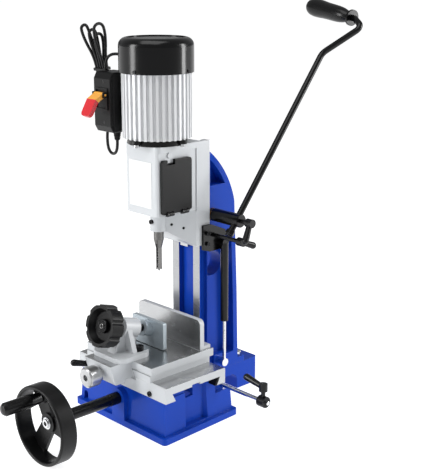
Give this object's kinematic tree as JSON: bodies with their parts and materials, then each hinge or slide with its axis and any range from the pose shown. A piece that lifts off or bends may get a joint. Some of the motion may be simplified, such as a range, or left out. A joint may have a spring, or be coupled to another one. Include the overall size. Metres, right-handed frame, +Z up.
{
  "type": "benchtop mortiser",
  "caption": "Bench mortiser: motor head with hollow chisel on a column, pulled down by a long lever, over a cross-slide table with work clamp and handwheel.",
  "frame": {"origin": "centre of the four bench bolt bosses, on the underside of the base", "axes": "+X to the operator's right, +Y to the back, +Z up"},
  "size_m": [0.397, 0.7569, 0.7849],
  "materials": {
    "blue_enamel": "gloss",
    "grey_enamel": "satin",
    "black_enamel": "satin",
    "gloss_black": "gloss",
    "matte_black": "matte",
    "black_lever": "satin",
    "black_steel": "black oxide",
    "ground_steel": "ground",
    "chrome_plate": "polished",
    "aluminium": "cast, satin",
    "bronze": "machined",
    "white_label": "printed film, bare",
    "red_plastic": "gloss",
    "yellow_plastic": "gloss",
    "cord_rubber": "matte"
  },
  "bodies": {
    "frame": {"base_casting": "blue_enamel", "bronze_bushes": "bronze", "column_casting": "blue_enamel", "column_bolts": "chrome_plate", "strut_rod": "chrome_plate", "stop_rod": "chrome_plate"},
    "saddle": {"saddle": "grey_enamel", "cross_rack": "ground_steel", "saddle_gib": "black_steel", "feed_nut": "bronze"},
    "table": {"table": "grey_enamel", "table_gib": "black_steel", "fence": "grey_enamel", "table_screws": "black_steel", "clamp_bracket": "grey_enamel"},
    "feed": {"feed_screw": "ground_steel", "feed_knob": "aluminium"},
    "table_lock": {"table_lock_lever": "black_lever"},
    "clamp_jaw": {"clamp_plate": "grey_enamel"},
    "clamp_spindle": {"clamp_screw": "black_steel", "clamp_knob": "matte_black"},
    "wheel": {"feed_shaft": "ground_steel", "feed_sleeve": "black_enamel", "handwheel": "matte_black", "wheel_fasteners": "chrome_plate"},
    "crank": {"crank_handle": "matte_black"},
    "head": {"head_casting": "grey_enamel", "head_rack": "ground_steel", "rating_plate": "white_label", "head_screws": "chrome_plate", "door_pins": "ground_steel", "motor_flange": "black_enamel", "motor_body": "aluminium", "motor_bearings": "ground_steel", "fan_cover": "gloss_black", "switch_box": "matte_black", "strut_plate": "black_enamel", "strut_cylinder": "black_enamel", "chisel": "black_steel", "supply_cord": "cord_rubber", "cord_hank": "cord_rubber", "motor_lead": "cord_rubber", "cord_glands": "matte_black", "plug": "matte_black"},
    "door": {"chuck_door": "matte_black"},
    "rotor": {"motor_rotor": "ground_steel", "drill_chuck": "ground_steel", "auger_bit": "black_steel"},
    "paddle": {"paddle_cover": "yellow_plastic", "switch_paddle": "red_plastic"},
    "lever": {"lever_shaft": "ground_steel", "lever_hub": "black_enamel", "lever_rod": "black_enamel", "lever_collars": "black_enamel", "tail_nut": "chrome_plate"},
    "grip": {"lever_grip": "matte_black"},
    "hub_clamp": {"hub_clamp_lever": "black_lever"},
    "head_lock": {"head_lock_lever": "black_lever"},
    "stop": {"stop_collar": "black_steel"},
    "stop_clamp": {"stop_lever": "black_lever"}
  },
  "joints": [
    {"name": "saddle_slide", "type": "slide", "parent": "frame", "child": "saddle", "axis": [1, 0, 0], "range_m": [-0.08, 0.08]},
    {"name": "table_slide", "type": "slide", "parent": "saddle", "child": "table", "axis": [0, 1, 0], "range_m": [-0.04, 0.012]},
    {"name": "feed_turn", "type": "hinge", "parent": "table", "child": "feed", "pos_m": [0, -0.15, 0.112], "axis": [0, 1, 0], "range_deg": [-2890, 870]},
    {"name": "table_lock_turn", "type": "hinge", "parent": "table", "child": "table_lock", "pos_m": [-0.0453, -0.121, 0.114], "axis": [1, 0, 0], "range_deg": [-30, 30]},
    {"name": "clamp_slide", "type": "slide", "parent": "table", "child": "clamp_jaw", "axis": [0, 0.9613, -0.2756], "range_m": [-0.016, 0.004]},
    {"name": "clamp_turn", "type": "hinge", "parent": "clamp_jaw", "child": "clamp_spindle", "pos_m": [0, -0.131, 0.203], "axis": [0, 0.9613, -0.2756], "range_deg": [-1445, 365]},
    {"name": "wheel_turn", "type": "hinge", "parent": "frame", "child": "wheel", "pos_m": [0, -0.25, 0.0525], "axis": [0, 1, 0], "range_deg": [-184, 184]},
    {"name": "crank_turn", "type": "hinge", "parent": "wheel", "child": "crank", "pos_m": [-0.013, -0.3, 0.098], "axis": [0, 1, 0], "continuous": true},
    {"name": "head_slide", "type": "slide", "parent": "frame", "child": "head", "axis": [0, 0, -1], "range_m": [0, 0.066], "stiffness_N_per_m": 700, "springref_m": -0.3},
    {"name": "door_swing", "type": "hinge", "parent": "head", "child": "door", "pos_m": [0.0503, 0.0145, 0.3965], "axis": [0, 1, 0], "range_deg": [0, 95]},
    {"name": "rotor_spin", "type": "hinge", "parent": "head", "child": "rotor", "pos_m": [0, 0.012, 0.5], "axis": [0, 0, -1], "continuous": true},
    {"name": "paddle_swing", "type": "hinge", "parent": "head", "child": "paddle", "pos_m": [-0.092, -0.045, 0.602], "axis": [1, 0, 0], "range_deg": [-20, 41]},
    {"name": "head_lock_turn", "type": "hinge", "parent": "head", "child": "head_lock", "pos_m": [0.124, 0.104, 0.339], "axis": [1, 0, 0], "range_deg": [-30, 30]},
    {"name": "lever_turn", "type": "hinge", "parent": "frame", "child": "lever", "pos_m": [0.08, 0.112, 0.3755], "axis": [1, 0, 0], "range_deg": [0, 138.5]},
    {"name": "grip_spin", "type": "hinge", "parent": "lever", "child": "grip", "pos_m": [0.14, 0.39276, 0.72973], "axis": [-0.9806, 0.1218, 0.1537], "continuous": true},
    {"name": "hub_clamp_turn", "type": "hinge", "parent": "lever", "child": "hub_clamp", "pos_m": [0.138, 0.112, 0.3755], "axis": [1, 0, 0], "range_deg": [-40, 40]},
    {"name": "stop_slide", "type": "slide", "parent": "frame", "child": "stop", "axis": [1, 0, 0], "range_m": [-0.095, 0.002]},
    {"name": "stop_lever_turn", "type": "hinge", "parent": "stop", "child": "stop_clamp", "pos_m": [0.219, 0.067, 0.09], "axis": [0, 0, -1], "range_deg": [0, 80]}
  ],
  "couplings": [
    {"joint": "feed_turn", "follows": "table_slide", "rad_per_m": 1256.6},
    {"joint": "clamp_turn", "follows": "clamp_slide", "rad_per_m": 1570.8},
    {"joint": "wheel_turn", "follows": "saddle_slide", "rad_per_m": 40},
    {"joint": "lever_turn", "follows": "head_slide", "rad_per_m": 36.364}
  ]
}
